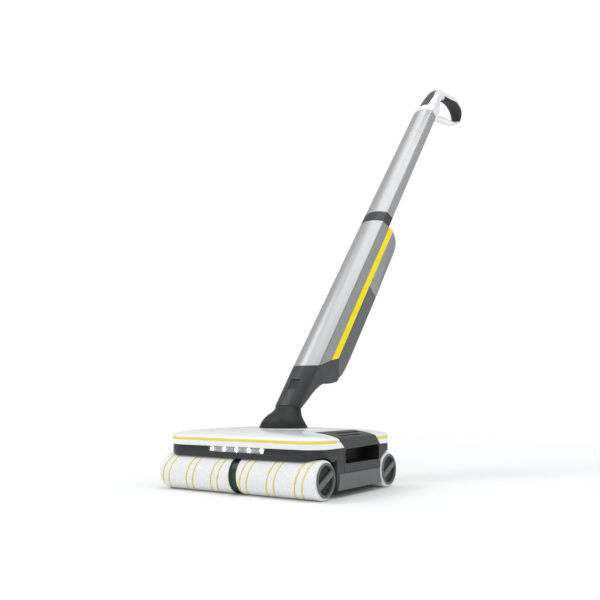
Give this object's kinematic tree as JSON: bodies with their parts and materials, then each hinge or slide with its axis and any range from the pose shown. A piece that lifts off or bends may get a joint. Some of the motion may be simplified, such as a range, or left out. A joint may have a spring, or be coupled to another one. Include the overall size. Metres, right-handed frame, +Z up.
{
  "type": "wet dry floor scrubber",
  "caption": "Cordless upright floor scrubber: wide low head with counter-rotating fabric rollers and pull-out tanks, pitching neck, slim silver stick and looped handle.",
  "frame": {"origin": "on the floor, under the middle of the whole machine's footprint as it stands with the stick leaning back", "axes": "+Z up; +X along the rollers, to the right as seen from the front, which is also what left and right mean in the node names; -Y towards the front, where the lamps face; the stick leans towards +Y"},
  "size_m": [0.3028, 0.9814, 0.9545],
  "materials": {
    "gloss_white": "smooth gloss, injection moulded",
    "black_plastic": "fine satin grain",
    "charcoal_plastic": "fine satin grain",
    "grey_plastic": "fine speckled grain",
    "tank_grey": "smooth, slightly smoky",
    "yellow": "smooth gloss",
    "green_plastic": "satin",
    "silver": "satin silver lacquer on plastic",
    "tube_silver": "satin silver anodised",
    "steel": "ground",
    "nylon": "satin",
    "microfibre": "short dense pile with yellow helical threads",
    "rubber": "matte",
    "soft_grip": "soft touch, matte",
    "clear_lens": "clear, polished",
    "circuit_board": "solder mask",
    "lamp_white": "bright white",
    "battery_wrap": "shrink wrap"
  },
  "bodies": {
    "head": {"chassis": "black_plastic", "top_cover": "gloss_white", "front_trim": "yellow", "rear_trim": "yellow", "front_bumper": "black_plastic", "rear_bumper": "black_plastic", "led_lens": "clear_lens", "led_board": "lamp_white", "neck_well": "black_plastic", "pivot_pin": "steel", "gear_case": "black_plastic", "drive_motor": "steel", "drive_belt": "rubber", "front_wiper": "rubber", "rear_wiper": "rubber", "water_bar": "nylon", "side_panel_left": "charcoal_plastic", "side_panel_right": "charcoal_plastic", "side_strip_left": "grey_plastic", "side_strip_right": "grey_plastic"},
    "front_axle": {"front_axle": "steel"},
    "rear_axle": {"rear_axle": "steel"},
    "idler": {"idler_gear": "nylon"},
    "motor_shaft": {"motor_pinion": "steel"},
    "roller_front_left": {"roller_core_front_left": "green_plastic", "roller_sleeve_front_left": "microfibre", "roller_cap_front_left": "charcoal_plastic"},
    "roller_front_right": {"roller_core_front_right": "green_plastic", "roller_sleeve_front_right": "microfibre", "roller_cap_front_right": "charcoal_plastic"},
    "roller_rear_left": {"roller_core_rear_left": "green_plastic", "roller_sleeve_rear_left": "microfibre", "roller_cap_rear_left": "charcoal_plastic"},
    "roller_rear_right": {"roller_core_rear_right": "green_plastic", "roller_sleeve_rear_right": "microfibre", "roller_cap_rear_right": "charcoal_plastic"},
    "tank_left": {"dirty_tank_left": "charcoal_plastic", "tank_cover_left": "charcoal_plastic"},
    "tank_right": {"dirty_tank_right": "charcoal_plastic", "tank_cover_right": "charcoal_plastic"},
    "neck": {"neck_yoke": "charcoal_plastic"},
    "stick": {"stick_foot": "charcoal_plastic", "body_front": "silver", "body_channel": "silver", "stripe_left": "yellow", "stripe_right": "yellow", "rear_cover": "silver", "battery_pack": "battery_wrap", "control_board": "circuit_board", "water_pump": "grey_plastic", "coupling_ring": "black_plastic", "upper_tube": "tube_silver", "handle_loop": "gloss_white", "handle_grip": "soft_grip", "control_panel": "charcoal_plastic"},
    "clean_tank": {"clean_tank": "tank_grey"},
    "tank_cap": {"tank_cap": "rubber"},
    "tank_latch": {"tank_latch": "black_plastic"},
    "power_button": {"power_button": "black_plastic"},
    "boost_button": {"boost_button": "black_plastic"}
  },
  "joints": [
    {"name": "front_axle_spin", "type": "hinge", "parent": "head", "child": "front_axle", "pos_m": [0, -0.4617, 0.029], "axis": [1, 0, 0], "continuous": true},
    {"name": "rear_axle_spin", "type": "hinge", "parent": "head", "child": "rear_axle", "pos_m": [0, -0.2617, 0.029], "axis": [1, 0, 0], "continuous": true},
    {"name": "idler_spin", "type": "hinge", "parent": "head", "child": "idler", "pos_m": [0, -0.42726, 0.031], "axis": [1, 0, 0], "continuous": true},
    {"name": "motor_spin", "type": "hinge", "parent": "head", "child": "motor_shaft", "pos_m": [0, -0.40779, 0.03], "axis": [1, 0, 0], "continuous": true},
    {"name": "roller_front_left_slide", "type": "slide", "parent": "front_axle", "child": "roller_front_left", "axis": [-1, 0, 0], "range_m": [0, 0.14]},
    {"name": "roller_front_right_slide", "type": "slide", "parent": "front_axle", "child": "roller_front_right", "axis": [1, 0, 0], "range_m": [0, 0.14]},
    {"name": "roller_rear_left_slide", "type": "slide", "parent": "rear_axle", "child": "roller_rear_left", "axis": [-1, 0, 0], "range_m": [0, 0.14]},
    {"name": "roller_rear_right_slide", "type": "slide", "parent": "rear_axle", "child": "roller_rear_right", "axis": [1, 0, 0], "range_m": [0, 0.14]},
    {"name": "tank_left_slide", "type": "slide", "parent": "head", "child": "tank_left", "axis": [-1, 0, 0], "range_m": [0, 0.085]},
    {"name": "tank_right_slide", "type": "slide", "parent": "head", "child": "tank_right", "axis": [1, 0, 0], "range_m": [0, 0.085]},
    {"name": "neck_pitch", "type": "hinge", "parent": "head", "child": "neck", "pos_m": [0, -0.35319, 0.0865], "axis": [-1, 0, 0], "range_deg": [-39.5, 35]},
    {"name": "stick_swivel", "type": "hinge", "parent": "neck", "child": "stick", "pos_m": [0, -0.33908, 0.13024], "axis": [0, 0.2649, 0.9643], "range_deg": [-40, 40]},
    {"name": "clean_tank_slide", "type": "slide", "parent": "stick", "child": "clean_tank", "axis": [0, 0.7706, -0.6373], "range_m": [0, 0.08]},
    {"name": "tank_cap_hinge", "type": "hinge", "parent": "clean_tank", "child": "tank_cap", "pos_m": [0, -0.07205, 0.33232], "axis": [1, 0, 0], "range_deg": [0, 110]},
    {"name": "tank_latch_press", "type": "slide", "parent": "stick", "child": "tank_latch", "axis": [0, -0.7706, 0.6373], "range_m": [0, 0.002], "stiffness_N_per_m": 600},
    {"name": "power_button_press", "type": "slide", "parent": "stick", "child": "power_button", "axis": [0, 0.7706, -0.6373], "range_m": [0, 0.0015], "stiffness_N_per_m": 600},
    {"name": "boost_button_press", "type": "slide", "parent": "stick", "child": "boost_button", "axis": [0, 0.7706, -0.6373], "range_m": [0, 0.0015], "stiffness_N_per_m": 600}
  ],
  "couplings": [
    {"joint": "rear_axle_spin", "follows": "front_axle_spin", "ratio": -1},
    {"joint": "idler_spin", "follows": "front_axle_spin", "ratio": -1.875},
    {"joint": "motor_spin", "follows": "front_axle_spin", "ratio": 3}
  ]
}
